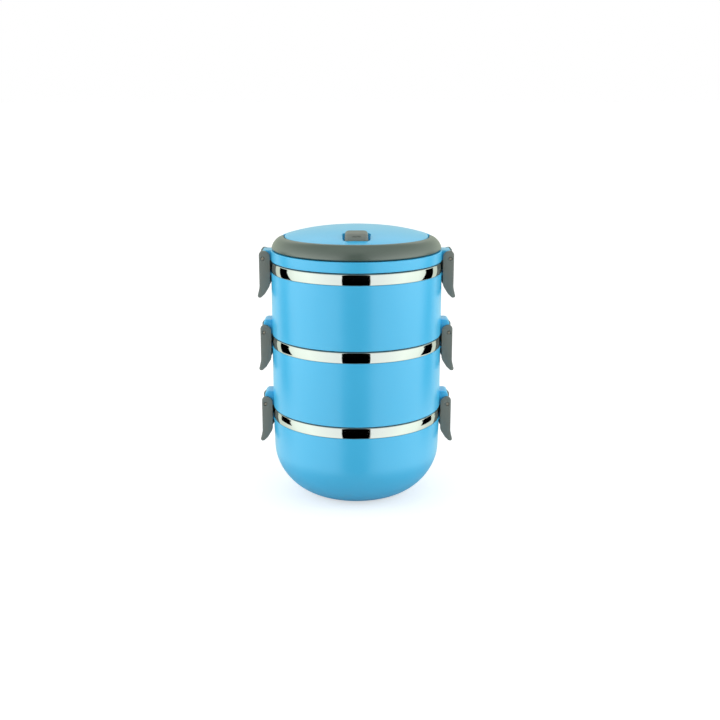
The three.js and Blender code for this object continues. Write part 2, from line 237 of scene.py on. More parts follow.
def offset(path, distance):
    """A path moved sideways, to its left when distance is positive. Points on the axis stay on it."""
    def left_of(a, b):
        length = hypot(b[0] - a[0], b[1] - a[1])
        return Vector((a[1] - b[1], b[0] - a[0])) / length

    moved = []
    for i, (x, z) in enumerate(path):
        before = left_of(path[max(i - 1, 0)], path[max(i, 1)])
        after = left_of(path[min(i, len(path) - 2)], path[min(i + 1, len(path) - 1)])
        shift = (before + after) * distance / (1 + before.dot(after))
        moved.append((0 if x == 0 else x + shift.x, z + shift.y))
    return moved


# ---- Meshes ----

def mesh_object(name, points, faces):
    """An object with one mesh, from points in millimetres."""
    mesh = bpy.data.meshes.new(name)
    mesh.from_pydata([Vector(p) * MM for p in points], [], faces)
    mesh.update()
    made = bpy.data.objects.new(name, mesh)
    bpy.context.scene.collection.objects.link(made)
    return made


def turned(name, outline, facets=AROUND):
    """An outline turned about Z. It closes on itself, unless it starts and ends on the axis."""
    poles = outline[0][0] == 0
    ring = outline[1:-1] if poles else outline
    if area_of(outline) < 0:
        ring = ring[::-1]
        outline = outline[::-1]
    n = len(ring)
    angles = [2 * pi * i / facets for i in range(facets)]
    points = [(r * cos(a), r * sin(a), z) for a in angles for r, z in ring]
    faces = []
    for i in range(facets):
        here = i * n
        there = (i + 1) % facets * n
        for j in range(n - 1 if poles else n):
            k = (j + 1) % n
            faces.append((here + j, there + j, there + k, here + k))
        if poles:
            faces.append((facets * n, there, here))
            faces.append((facets * n + 1, here + n - 1, there + n - 1))
    if poles:
        points += [(0, 0, outline[0][1]), (0, 0, outline[-1][1])]
    return mesh_object(name, points, faces)


def loft(name, rings):
    """A skin over rings of points, each with the same count, closed by a flat cap at each end."""
    n = len(rings[0])
    points = [p for ring in rings for p in ring]
    faces = [
        (i * n + j, i * n + (j + 1) % n, (i + 1) * n + (j + 1) % n, (i + 1) * n + j)
        for i in range(len(rings) - 1)
        for j in range(n)
    ]
    faces.append(tuple(reversed(range(n))))
    faces.append(tuple((len(rings) - 1) * n + j for j in range(n)))
    return mesh_object(name, points, faces)


def slab(name, outline, width):
    """An outline in the X-Z plane, extruded along Y and centred on it."""
    if area_of(outline) > 0:
        outline = outline[::-1]
    return loft(name, [[(x, y, z) for x, z in outline] for y in (-width / 2, width / 2)])


def bar(name, radius, length, centre, axis="Y", facets=48, chamfer=0.0):
    """A round bar along X, Y or Z, with its ends' edges cut back by the chamfer."""
    half = length / 2
    outline = [(0, -half), (radius - chamfer, -half), (radius, -half + chamfer)]
    outline += [(radius, half - chamfer), (radius - chamfer, half), (0, half)]
    if chamfer == 0:
        outline = [outline[0], outline[1], outline[4], outline[5]]
    made = turned(name, outline, facets)
    if axis != "Z":
        made.data.transform(Matrix.Rotation(pi / 2, 4, "X" if axis == "Y" else "Y"))
    made.data.transform(Matrix.Translation(Vector(centre) * MM))
    return made


def bake(piece):
    """Turns a piece's modifiers into its mesh."""
    evaluated = piece.evaluated_get(bpy.context.evaluated_depsgraph_get())
    before = piece.data
    piece.data = bpy.data.meshes.new_from_object(evaluated)
    piece.modifiers.clear()
    bpy.data.meshes.remove(before)
    return piece


def weld(piece):
    """Closes the hairline gaps that a cut can leave, so that the next one starts from a closed mesh."""
    mesh = bmesh.new()
    mesh.from_mesh(piece.data)
    bmesh.ops.remove_doubles(mesh, verts=mesh.verts, dist=WELD_DISTANCE * MM)
    mesh.to_mesh(piece.data)
    mesh.free()
    return piece


def combine(piece, tool, operation):
    """Joins or cuts a piece with a tool, which is used up."""
    modifier = piece.modifiers.new("boolean", "BOOLEAN")
    modifier.operation = operation
    modifier.solver = "EXACT"
    modifier.object = tool
    bake(piece)
    mesh = tool.data
    bpy.data.objects.remove(tool)
    bpy.data.meshes.remove(mesh)
    return weld(piece)


def join(piece, tool):
    """Adds a tool to a piece."""
    return combine(piece, tool, "UNION")


def cut(piece, tool):
    """Takes a tool away from a piece."""
    return combine(piece, tool, "DIFFERENCE")


def soften(piece, width, segments=3, angle=40):
    """Rounds every edge sharper than the angle."""
    modifier = piece.modifiers.new("bevel", "BEVEL")
    modifier.width = width * MM
    modifier.segments = segments
    modifier.limit_method = "ANGLE"
    modifier.angle_limit = radians(angle)
    return bake(piece)


def turned_round(piece):
    """The same piece, on the other side of the carrier."""
    piece.data.transform(Matrix.Rotation(pi, 4, "Z"))
    return piece


def raised(piece, height):
    """The same piece, higher up."""
    piece.data.transform(Matrix.Translation((0, 0, height * MM)))
    return piece


# ---- Materials ----

def node_maker(tree):
    """A function that adds a node to a tree and sets or links its inputs."""
    def node(kind, attributes=None, **inputs):
        new = tree.nodes.new(kind)
        for key, value in (attributes or {}).items():
            setattr(new, key, value)
        for key, value in inputs.items():
            socket = new.inputs[key.replace("_", " ")]
            if isinstance(value, bpy.types.NodeSocket):
                tree.links.new(value, socket)
            else:
                socket.default_value = value
        return new

    return node


def material(name):
    """A new material, with its node tree, its shader and a function that adds nodes to it."""
    made = bpy.data.materials.new(name)
    made.use_nodes = True
    tree = made.node_tree
    return made, tree, tree.nodes["Principled BSDF"], node_maker(tree)


def blend_of(node, factor, low, high):
    """A colour that runs from one to another with a factor."""
    ramp = node("ShaderNodeValToRGB", Fac=factor)
    ramp.color_ramp.elements[0].color = (*low, 1)
    ramp.color_ramp.elements[1].color = (*high, 1)
    return ramp.outputs["Color"]


def scaled(node, factor, low, high):
    """A number that runs smoothly from one to another as a factor goes from 0.25 to 0.75."""
    inputs = {"Value": factor, "From_Min": 0.25, "From_Max": 0.75, "To_Min": low, "To_Max": high}
    return node("ShaderNodeMapRange", {"interpolation_type": "SMOOTHSTEP"}, **inputs).outputs["Result"]


def moulded(name, low, high, roughness, grain_size, grain_depth, ior=1.5):
    """Moulded plastic: a slow drift of colour, a fine spark-eroded grain, and patches of polish."""
    made, tree, shader, node = material(name)
    place = node("ShaderNodeTexCoord").outputs["Object"]
    drift = node("ShaderNodeTexNoise", Vector=place, Scale=14.0, Detail=2.0).outputs["Fac"]
    handling = node("ShaderNodeTexNoise", Vector=place, Scale=30.0, Detail=2.0).outputs["Fac"]
    per_metre = 1 / (grain_size * MM)
    grain = node("ShaderNodeTexNoise", Vector=place, Scale=per_metre, Detail=2.0).outputs["Fac"]
    bump = node("ShaderNodeBump", Height=grain, Strength=1.0, Distance=grain_depth * MM)
    tree.links.new(blend_of(node, drift, low, high), shader.inputs["Base Color"])
    tree.links.new(scaled(node, handling, *roughness), shader.inputs["Roughness"])
    tree.links.new(bump.outputs["Normal"], shader.inputs["Normal"])
    shader.inputs["IOR"].default_value = ior
    return made


BRUSHED_R = 67
MIRROR_R = 70


def polished_steel():
    """Drawn steel: a mirror on the outer band, and circular brushing inside the bowl."""
    made, tree, shader, node = material("polished_steel")
    place = node("ShaderNodeTexCoord").outputs["Object"]
    axes = node("ShaderNodeSeparateXYZ", Vector=place).outputs
    flat = node("ShaderNodeCombineXYZ", X=axes["X"], Y=axes["Y"]).outputs["Vector"]
    length = node("ShaderNodeVectorMath", {"operation": "LENGTH"}, Vector=flat)
    radius = length.outputs["Value"]
    edges = {"From_Min": BRUSHED_R * MM, "From_Max": MIRROR_R * MM}
    outside = node("ShaderNodeMapRange", Value=radius, **edges).outputs["Result"]
    turned_place = node("ShaderNodeCombineXYZ", X=radius, Y=axes["Z"]).outputs["Vector"]
    rings = node("ShaderNodeTexNoise", Vector=turned_place, Scale=2600.0, Detail=3.0).outputs["Fac"]
    smudge = node("ShaderNodeTexNoise", Vector=place, Scale=45.0, Detail=5.0).outputs["Fac"]
    inside_rough = scaled(node, rings, 0.2, 0.34)
    band_rough = scaled(node, smudge, 0.03, 0.075)
    mix = node("ShaderNodeMix", {"data_type": "FLOAT"})
    tree.links.new(outside, mix.inputs["Factor"])
    tree.links.new(inside_rough, mix.inputs["A"])
    tree.links.new(band_rough, mix.inputs["B"])
    tree.links.new(mix.outputs["Result"], shader.inputs["Roughness"])
    depth = node("ShaderNodeMapRange", Value=outside, To_Min=0.006 * MM, To_Max=0.0)
    bump = node("ShaderNodeBump", Height=rings, Strength=1.0, Distance=depth.outputs["Result"])
    tree.links.new(bump.outputs["Normal"], shader.inputs["Normal"])
    color = blend_of(node, smudge, (0.43, 0.465, 0.445), (0.455, 0.49, 0.47))
    tree.links.new(color, shader.inputs["Base Color"])
    shader.inputs["Metallic"].default_value = 1.0
    return made


def drawn_wire():
    """The dull steel of the hinge pins."""
    made, tree, shader, node = material("pin_steel")
    place = node("ShaderNodeTexCoord").outputs["Object"]
    wear = node("ShaderNodeTexNoise", Vector=place, Scale=900.0, Detail=3.0).outputs["Fac"]
    color = blend_of(node, wear, (0.36, 0.34, 0.28), (0.46, 0.44, 0.38))
    tree.links.new(color, shader.inputs["Base Color"])
    tree.links.new(scaled(node, wear, 0.42, 0.56), shader.inputs["Roughness"])
    shader.inputs["Metallic"].default_value = 1.0
    return made


BLUE = moulded(
    "blue_plastic",
    low=(0.043, 0.46, 0.78),
    high=(0.050, 0.49, 0.82),
    roughness=(0.29, 0.33),
    grain_size=0.32,
    grain_depth=0.005,
    ior=1.64,
)
GREY = moulded(
    "grey_plastic",
    low=(0.059, 0.087, 0.070),
    high=(0.072, 0.102, 0.082),
    roughness=(0.30, 0.38),
    grain_size=0.28,
    grain_depth=0.010,
    ior=1.8,
)
PALE_GREY = moulded(
    "pale_grey_plastic",
    low=(0.176, 0.196, 0.174),
    high=(0.196, 0.216, 0.193),
    roughness=(0.34, 0.44),
    grain_size=0.28,
    grain_depth=0.010,
)
BUTTON_GREY = moulded(
    "button_grey_plastic",
    low=(0.185, 0.205, 0.183),
    high=(0.205, 0.225, 0.202),
    roughness=(0.5, 0.6),
    grain_size=0.28,
    grain_depth=0.010,
    ior=1.3,
)
WHITE = moulded(
    "white_plastic",
    low=(0.78, 0.82, 0.84),
    high=(0.84, 0.87, 0.88),
    roughness=(0.28, 0.38),
    grain_size=0.35,
    grain_depth=0.005,
)
SILICONE = moulded(
    "silicone",
    low=(0.66, 0.70, 0.73),
    high=(0.74, 0.77, 0.79),
    roughness=(0.5, 0.65),
    grain_size=0.5,
    grain_depth=0.008,
)
STEEL_LOOK = polished_steel()
PIN_LOOK = drawn_wire()


def finished(piece, node, look):
    """Shades a piece, paints it, and puts it in the place of its CAD node."""
    piece.name = node + "_fine"
    piece.data.name = piece.name
    piece.data.shade_smooth()
    piece.data.set_sharp_from_angle(angle=SHARP_ANGLE)
    piece.data.materials.clear()
    piece.data.materials.append(look)
    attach(piece, BODY_OF[node])
    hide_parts(node)


# ---- Lugs and catches on the shells ----

def lug(top):
    """The blue lug that a clip turns on, at the right-hand side."""
    outline = [(LUG_ROOT_X, SEAM + GAP), (PIN_X - 3.4, SEAM + GAP)]
    outline += arc(PIN_X, PIN_UP, LUG_NOSE_R, -140, 45, 16)
    upper = [(LUG_FACE_X, PIN_UP + 3.8), (LUG_FACE_X, top, 3.5), (LUG_ROOT_X, top)]
    outline += rounded(upper, closed=False)
    made = soften(slab("lug", outline, LUG_WIDTH), 0.9)
    return cut(made, bar("bore", PIN_R + GAP, CLIP_WIDTH, (PIN_X, 0, PIN_UP)))


def catch(rim):
    """The lip that a clip's hook reaches for, under the band."""
    low = rim + CATCH_TOP - CATCH_HEIGHT
    high = rim + CATCH_TOP
    outline = [
        (LUG_ROOT_X, low),
        (CATCH_X, low, 0.3),
        (CATCH_X, high - 0.8, 0.4),
        (CATCH_X - 1.4, high, 0.6),
        (LUG_ROOT_X, high),
    ]
    return soften(slab("catch", rounded(outline), LUG_WIDTH - 0.4), 0.3)


def on_both_sides(piece, make, *sizes):
    """Adds what a function makes, once at the right-hand side and once at the left."""
    join(piece, make(*sizes))
    return join(piece, turned_round(make(*sizes)))


# ---- Tiers ----

def neck(rim):
    """The top of a shell, from the shoulder under the steel band, over the neck, to the inner wall."""
    return [
        (BODY_R, rim - BAND_HEIGHT - GAP, 0.4),
        (NECK_R, rim - BAND_HEIGHT - GAP),
        (NECK_R, rim - NECK_DROP, 0.5),
        (SHELL_INNER_R, rim - NECK_DROP, 0.5),
    ]


PLUG = [
    (PLUG_R, -PLUG_DROP, 1.2),
    (PLUG_R, SEAM),
    (GROOVE_INNER_R, SEAM, 0.2),
    (GROOVE_INNER_R, GROOVE_DEPTH, 0.3),
]


def tier_shell(tier):
    """A tier's outside: its plug and groove below, a straight wall, and a neck for its bowl."""
    skirt_r = BODY_R - 1.8
    corners = [(0, -PLUG_DROP), *PLUG, (skirt_r, GROOVE_DEPTH, 0.3), (skirt_r, SEAM, 0.3)]
    corners += [(BODY_R, SEAM, 0.5), *neck(PITCH)]
    corners += [(SHELL_INNER_R, 6, 1.5), (STEP_R, 6, 0.5), (STEP_R, PLUG_FLOOR, 1), (0, PLUG_FLOOR)]
    shell = turned(tier, rounded(corners, closed=False))
    on_both_sides(shell, lug, TIER_LUG_TOP)
    on_both_sides(shell, catch, PITCH)
    return raised(shell, SITS_ON[tier])


def bottom_shell():
    """The bottom tier's outside: a ring to stand on, a round bottom, and a neck for its bowl."""
    rim = RIM["bottom"]
    foot = [(0, 1.2), (FOOT_R - 4, 1.2, 0.6), (FOOT_R - 3.2, 0, 0.4), (FOOT_R - 1, 0)]
    upper = [(BOWL_WALL_R + 0.1, BOWL_TOP + 2), *neck(rim), (SHELL_INNER_R, rim - 9)]
    outline = rounded(foot, closed=False)
    outline += superellipse(FOOT_R, BOWL_WALL_R, 0, BOWL_TOP, BOWL_CURVE, 40)
    outline += rounded(upper, closed=False)
    outline += superellipse(FOOT_R, SHELL_INNER_R, BOTTOM_FLOOR, BOWL_TOP, BOWL_CURVE, 30)[::-1]
    outline.append((0, BOTTOM_FLOOR))
    return on_both_sides(turned("bottom", outline), catch, rim)


def collar(rim):
    """The edge of a bowl: over the neck, and down outside it as the band, slightly crowned."""
    band_r = COLLAR_R - STEEL / 2
    top = rim - 2.2
    low = rim - BAND_HEIGHT + 0.2
    bead = [
        (COLLAR_INNER_R, rim - 3.4),
        (COLLAR_INNER_R, rim - STEEL / 2, 1.4),
        (band_r - BAND_CROWN, rim - STEEL / 2, 1.5),
        (band_r - BAND_CROWN, top),
    ]
    band = []
    for i in range(1, BAND_STEPS + 1):
        t = i / BAND_STEPS
        band.append((band_r - BAND_CROWN * (2 * t - 1) ** 2, top + (low - top) * t))
    return rounded(bead, closed=False) + band


def bowl(rim, floor, floor_r, wall_r, wall_low, exponent):
    """A steel bowl: one sheet with a round bottom, a straight wall and a collar, hemmed at its end."""
    middle = [(0, floor), *superellipse(floor_r, wall_r, floor, wall_low, exponent, 24)]
    middle += [(wall_r, rim - 5), *collar(rim)]
    below = offset(middle, -STEEL / 2)
    above = offset(middle, STEEL / 2)
    hem = arc(*middle[-1], STEEL / 2, -180, 0, 6)[1:-1]
    return turned("bowl", below + hem + above[::-1])


def seal_ring():
    """A soft ring with two lips on its underside."""
    inner_r = PLUG_R + 1.6
    low, high = GAP, GROOVE_DEPTH - GAP
    corners = [(inner_r, low + 0.8, 0.2), (inner_r + 0.5, low, 0.3), (inner_r + 1.1, low, 0.3)]
    corners += [(inner_r + 1.5, low + 0.6, 0.2), (inner_r + 1.9, low, 0.3), (inner_r + 2.5, low, 0.3)]
    corners += [(inner_r + 3, low + 0.8, 0.2), (inner_r + 3, high, 0.4), (inner_r, high, 0.4)]
    return turned("seal", rounded(corners))


# ---- Lid ----

def dome_height(r):
    """The height of the dome's surface at a radius."""
    return DOME_TOP - (DOME_TOP - DOME_EDGE) * (r / CREST_R) ** DOME_CURVE


# The dome's slope where the button sits, over a millimetre.
VENT_SLOPE = atan(dome_height(-VENT_Y - 0.5) - dome_height(-VENT_Y + 0.5))


def dome(edge_r, lowered=0.0, steps=20):
    """The dome from its edge in to the axis, or its underside when it is lowered."""
    radii = [edge_r * (1 - i / steps) for i in range(steps + 1)]
    return [(r, dome_height(r) - lowered) for r in radii]


def shoulder():
    """The round edge behind the handle, from the bottom up. It meets the dome along the dome's slope."""
    top, low = DOME_EDGE + 0.5, LEDGE + 0.1
    whole = superellipse(SHOULDER_INNER_R, RAISED_R, top, low, SHOULDER_CURVE, 30)
    return [(r, z) for r, z in whole[::-1] if r > CREST_R + 0.2]


def swept(name, section, start, end, stations, nose):
    """A section of (radius, up) points swept about Z between two angles that depend on the point.
    Both ends are rounded off over the length of the nose."""
    middle_r = sum(r for r, _ in section) / len(section)
    middle_z = sum(z for _, z in section) / len(section)
    half = min(max(abs(r - middle_r) for r, _ in section), max(abs(z - middle_z) for _, z in section))
    nose_steps = 6
    progress = []
    for i in range(nose_steps):
        a = pi / 2 * i / nose_steps
        progress.append((0, nose * (1 - sin(a)), nose * (1 - cos(a))))
    progress += [(i / stations, 0, nose * (1 - 2 * i / stations)) for i in range(stations + 1)]
    progress += [(1, inset, -back) for _, inset, back in progress[:nose_steps][::-1]]
    rings = []
    for share, inset, back in progress:
        shrink = 1 - inset / half
        ring = []
        for r, z in section:
            first, last = start(r, z), end(r, z)
            way = 1 if last > first else -1
            angle = first + (last - first) * share + way * back / r
            near_r = middle_r + (r - middle_r) * shrink
            near_z = middle_z + (z - middle_z) * shrink
            ring.append((near_r * cos(angle), near_r * sin(angle), near_z))
        rings.append(ring)
    return loft(name, rings)


def rounded_rectangle(width, depth, corner, up):
    """A ring of points round a rectangle with round corners."""
    ring = []
    for quarter, (side_x, side_y) in enumerate([(1, 1), (-1, 1), (-1, -1), (1, -1)]):
        x = side_x * (width / 2 - corner)
        y = side_y * (depth / 2 - corner)
        ring += [(*point, up) for point in arc(x, y, corner, 90 * quarter, 90 * quarter + 90, 10)]
    return ring


def stretched_back(piece):
    """Makes a piece reach further behind the vent button, where it's also a little wider."""
    for vertex in piece.data.vertices:
        if vertex.co.y > 0:
            vertex.co.x *= POCKET_SPREAD
            vertex.co.y += POCKET_REACH * MM
    return piece


def on_vent(piece):
    """Tilts a piece to the dome's slope and moves it to where the vent button is."""
    place = Matrix.Translation(Vector((0, VENT_Y, dome_height(-VENT_Y))) * MM)
    piece.data.transform(place @ Matrix.Rotation(VENT_SLOPE, 4, "X"))
    return piece


def handle_channel():
    """What is cut from the front of the lid for the handle, with the rounding of the dome's edge."""
    clear_r = BODY_R + 3
    edge = EDGE_ROUNDING
    edge_up = dome_height(HUB_WALL_R - edge) - edge
    wall = [(clear_r, LEDGE), (HUB_WALL_R, LEDGE, 0.4), (HUB_WALL_R, edge_up)]
    outline = rounded(wall, closed=False)
    turn = 58
    outline += arc(HUB_WALL_R - edge, edge_up, edge, 0, turn, ARC_STEPS)[1:]
    x, z = outline[-1]
    leaving = radians(90 - turn)
    outline += [(x - 4 * cos(leaving), z + 4 * sin(leaving)), (clear_r, DOME_TOP)]
    channel = turned("channel", outline)
    behind = arc(0, PIVOT_UP, NOTCH_R, 0, -60, 16)
    far, high = 2 * BODY_R, 2 * DOME_TOP
    behind += [(behind[-1][0], 0), (far, 0), (far, high), (NOTCH_R, high)]
    keep = slab("behind", behind, 3 * BODY_R)
    keep.data.transform(Matrix.Rotation(pi / 2, 4, "Z"))
    return cut(channel, keep)


def vent_pocket(shell):
    """Sinks a pocket for the vent button into the lid, with a floor under it and a hole for its stem."""
    pad_heights = (-POCKET_DEPTH - WALL, -WALL / 2)
    pad_rings = [rounded_rectangle(VENT_WIDTH + 5, BUTTON_DEPTH + 5, 6, up) for up in pad_heights]
    join(shell, on_vent(stretched_back(loft("pad", pad_rings))))
    flare = [(0, -POCKET_DEPTH), (0, -0.5), (0.1, -0.25), (0.3, -0.05), (0.6, 0.15), (5, BUTTON_HEIGHT)]
    width = BUTTON_WIDTH + 2 * POCKET_SIDE_GAP
    depth = BUTTON_DEPTH + 2 * POCKET_END_GAP
    rings = [rounded_rectangle(width + more, depth + more, 3.8 + more / 2, up) for more, up in flare]
    cut(shell, on_vent(stretched_back(loft("pocket", rings))))
    cut(shell, bar("hole", VENT_STEM_R + 0.4, 2 * DOME_TOP, (0, VENT_Y, DOME_TOP), "Z"))


def lid_shell():
    """The lid's outside: a skirt, a ledge and a wall for the handle, and the dome with its pocket."""
    wall_r = HUB_WALL_R - 2.2
    skirt_r = BODY_R - WALL
    inside = dome(wall_r, WALL)[::-1]
    corners = [
        inside[-1],
        (wall_r, LEDGE - WALL, 0.8),
        (skirt_r, LEDGE - WALL, 0.8),
        (skirt_r, SEAM, 0.4),
        (BODY_R, SEAM, 0.5),
        (BODY_R, LEDGE - 0.3, 0.4),
        (RAISED_R, LEDGE - 0.1),
    ]
    outline = inside + rounded(corners, closed=False)[1:] + shoulder() + dome(CREST_R)
    shell = cut(turned("lid", outline), handle_channel())
    for side in (-1, 1):
        place = (side * (HUB_WALL_R - 1), 0, PIVOT_UP)
        cut(shell, bar("bearing", TRUNNION_R + GAP, 4, place, "X"))
    vent_pocket(shell)
    on_both_sides(shell, lug, LID_LUG_TOP)
    return raised(shell, SITS_ON["lid"])


def lid_liner():
    """The lid's underside: a plug and groove like a tier's, with a vent hole."""
    skirt_r = BODY_R - WALL - GAP
    top = GROOVE_DEPTH + WALL
    corners = [(0, -PLUG_DROP), *PLUG, (skirt_r, GROOVE_DEPTH, 0.3), (skirt_r, top, 0.5)]
    corners += [(STEP_R + 0.9, top, 0.8), (STEP_R, PLUG_FLOOR, 1.5), (0, PLUG_FLOOR)]
    liner = turned("liner", rounded(corners, closed=False))
    cut(liner, bar("hole", VENT_HOLE_R, 3 * PLUG_DROP, (0, VENT_Y, -1), "Z"))
    return raised(liner, SITS_ON["lid"])


def handle_angle(r, z):
    """Where the handle ends, just behind its axis."""
    back = HANDLE_HIGH.y
    drop = z - PIVOT_UP
    reach = sqrt(back**2 - drop**2) if drop < 0 else min(back, sqrt(HANDLE_HUB_R**2 - drop**2))
    return asin(reach / r)


def handle():
    """A half ring with a round crest, a little taller at its middle, and a stub at each end."""
    bottom, crest, outer = HANDLE_LOW.z, HANDLE_HIGH.z - HANDLE_RISE, HANDLE_HIGH.x
    edge = EDGE_ROUNDING
    start_r = HANDLE_INNER_R + 3
    underside = [(start_r, bottom), (outer - 0.6, bottom, 0.5), (outer, bottom + 0.7)]
    section = rounded(underside, closed=False)
    section += superellipse(HANDLE_INNER_R + edge, outer, crest, bottom + 0.8, HANDLE_CURVE, 24)[::-1]
    section += arc(HANDLE_INNER_R + edge, crest - edge, edge, 90, 180, ARC_STEPS)[1:]
    inside = [section[-1], (HANDLE_INNER_R, bottom, 0.6), (start_r, bottom)]
    section += rounded(inside, closed=False)[1:-1]
    ring = swept("handle", section, handle_angle, lambda r, z: -pi - handle_angle(r, z), 150, 0.8)
    for vertex in ring.data.vertices:
        forward = max(-vertex.co.y / MM, 0) / CREST_R
        vertex.co.z += HANDLE_RISE * forward * (vertex.co.z - bottom * MM) / (crest - bottom)
    for side in (-1, 1):
        place = (side * (HANDLE_INNER_R - 1.5), 0, PIVOT_UP)
        join(ring, bar("stub", TRUNNION_R, 5, place, "X", chamfer=0.3))
    return raised(ring, SITS_ON["lid"])


def button():
    """The vent button before it is placed: its top is softly rounded, and its face leans back."""
    base = -POCKET_DEPTH + GAP
    stations = [(-0.8, base), (-0.2, base + 0.3), (0, -0.8)]
    stations.append((-BUTTON_DRAFT / 2, BUTTON_HEIGHT / 2 - BUTTON_SOFTNESS / 2))
    for i in range(9):
        a = radians(90 * i / 8)
        less = -BUTTON_DRAFT - 2 * BUTTON_SOFTNESS * (1 - cos(a))
        stations.append((less, BUTTON_HEIGHT - 0.15 - BUTTON_SOFTNESS * (1 - sin(a))))
    stations += [(-8, BUTTON_HEIGHT - 0.06), (-13, BUTTON_HEIGHT)]
    rings = []
    for less, up in stations:
        corner = max(4.2 + less / 2, 1.6)
        rings.append(rounded_rectangle(BUTTON_WIDTH + less, BUTTON_DEPTH + less, corner, up))
    made = loft("knob", rings)
    for vertex in made.data.vertices:
        back = 0.5 + vertex.co.y / (BUTTON_DEPTH * MM)
        proud = max(vertex.co.z, 0)
        vertex.co.y += BUTTON_LEAN * proud * (1 - back)
        vertex.co.z -= BUTTON_FALL * proud * back
    return made


def vent_knob():
    """The button, with a slot in its face for a fingernail and a stem down to its seal."""
    low, high = SLOT_UP - 0.6, SLOT_UP + 0.6
    slot = soften(slab("slot", [(-3.4, low), (3.4, low), (3.4, high), (-3.4, high)], 4.4), 0.35)
    slot.data.transform(Matrix.Translation((0, -BUTTON_DEPTH / 2 * MM, 0)))
    made = on_vent(cut(button(), slot))
    foot = VENT_STEM_FOOT
    head = dome_height(-VENT_Y) + 1
    stem_place = (0, VENT_Y, (head + foot) / 2)
    join(made, bar("stem", VENT_STEM_R, head - foot, stem_place, "Z", chamfer=0.3))
    return raised(made, SITS_ON["lid"])


def vent_seal():
    """A soft disc at the foot of the button's stem, which covers the liner's hole."""
    corners = [(0, 0.5), (4.2, 0.5, 0.3), (4.9, 1.4, 0.3), (4.9, 2.2, 0.3), (4.2, 3, 0.3), (0, 3)]
    seal = turned("vent_seal", rounded(corners, closed=False), 64)
    seal.data.transform(Matrix.Translation((0, VENT_Y * MM, 0)))
    return raised(seal, SITS_ON["lid"])


# ---- Clips ----

def clip():
    """Seen from the front: a head rounded about the pin, a straight back, and a tab that flares out."""
    outer, inner = CLIP_OUTER_X, CLIP_INNER_X
    outline = arc(PIN_X, PIN_UP, CLIP_HEAD_R, 155, 78, 14)
    outline += arc(outer - 2.6, PIN_UP + 3.4, 2.6, 62, 0, 8)
    outline += rounded(
        [
            (outer, PIN_UP),
            (outer, -22, 14),
            (outer + CLIP_FLARE, -29.2, 0.9),
            (outer + 0.9, -30.7, 0.9),
            (outer - 1.2, -30.6, 1.2),
            (outer - 4.6, -27.4, 5),
            (inner + 0.2, -20.6, 6),
            (inner, -8),
        ],
        closed=False,
    )[1:]
    body = slab("clip", outline, CLIP_WIDTH)
    back = outer - CLIP_WALL
    pocket = [(inner - 3, -31), (back - 2.6, -27.6), (back - 0.9, -24.6), (back, -20), (back, -1.4, 1)]
    pocket += [(outer + 3, -1.4), (outer + 3, 14), (inner - 3, 14)]
    cut(body, slab("pocket", rounded(pocket), CLIP_WIDTH - 2 * CLIP_CHEEK))
    low = CATCH_TOP - CATCH_HEIGHT
    tooth = [
        (CATCH_X + 0.4, low - 0.6, 0.3),
        (outer - 1, low - 0.6),
        (outer - 1, low - 5),
        (CATCH_X + 0.9, low - 2.8, 0.6),
    ]
    join(body, slab("hook", rounded(tooth), CLIP_WIDTH - 2 * CLIP_CHEEK + 0.4))
    soften(body, CLIP_ROUNDING)
    return cut(body, bar("bore", PIN_R + GAP, CLIP_WIDTH + 2, (PIN_X, 0, PIN_UP)))


def clip_pin():
    """The pin that a clip turns on."""
    return bar("pin", PIN_R, CLIP_WIDTH - 0.6, (PIN_X, 0, PIN_UP), facets=40, chamfer=0.25)


# ---- Assembly ----

finished(bottom_shell(), "bottom_shell", BLUE)
finished(bowl(RIM["bottom"], **LOW_BOWL), "bottom_bowl", STEEL_LOOK)
for tier in ("middle", "top"):
    finished(tier_shell(tier), tier + "_shell", BLUE)
    tier_bowl = raised(bowl(PITCH, **TIER_BOWL), SITS_ON[tier])
    finished(tier_bowl, tier + "_bowl", STEEL_LOOK)
for tier, height in SITS_ON.items():
    finished(raised(seal_ring(), height), tier + "_seal", SILICONE)
    for side, place in (("right", lambda piece: piece), ("left", turned_round)):
        clip_piece = place(raised(clip(), height))
        finished(clip_piece, f"{tier}_clip_{side}", PALE_GREY)
        pin_piece = place(raised(clip_pin(), height))
        finished(pin_piece, f"{tier}_clip_pin_{side}", PIN_LOOK)
finished(lid_shell(), "lid_shell", BLUE)
finished(lid_liner(), "lid_liner", WHITE)
finished(handle(), "handle", GREY)
finished(vent_knob(), "vent_knob", BUTTON_GREY)
finished(vent_seal(), "vent_seal", SILICONE)

# ---- Stage, light and camera ----

def neutral(shade):
    """A grey, as a colour."""
    return (shade, shade, shade)


# Shades along the studio's depth, from -1 at the camera's side to 1 behind the carrier, and upwards,
# from -1 straight down to 1 straight up. One pair is for reflections and one for soft light.
MIRRORED_ALONG = [
    (-1, (1.7, 1.7, 1.7)),
    (-0.4, (2.05, 2.12, 1.98)),
    (0, (1.95, 2.05, 1.88)),
    (0.44, (1.35, 1.43, 1.27)),
    (1, (0.88, 0.96, 0.76)),
]
MIRRORED_UPWARD = [(-0.9, neutral(0.3)), (-0.6, neutral(0.95)), (0.15, neutral(1)), (0.8, neutral(0.35))]
LIT_ALONG = [(-1, neutral(0.92)), (0, neutral(1.42)), (1, neutral(1.08))]
LIT_UPWARD = [(0.15, neutral(1)), (0.8, neutral(0.45))]

# Flags, as (across, up) outlines in millimetres: one in front of the carrier, and one at each side.
FRONT_FLAG = [(-326, -1000), (326, -1000), (285, 250), (200, 1400), (-200, 1400), (-285, 250)]
SIDE_FLAG = [(-235, -178), (110, -140), (80, 300), (-129, 300)]

FLOOR_HALF = 12000
FLOOR_GLOW = 0.55
FLOOR_MIRRORED_TO = (0.09, 0.14)


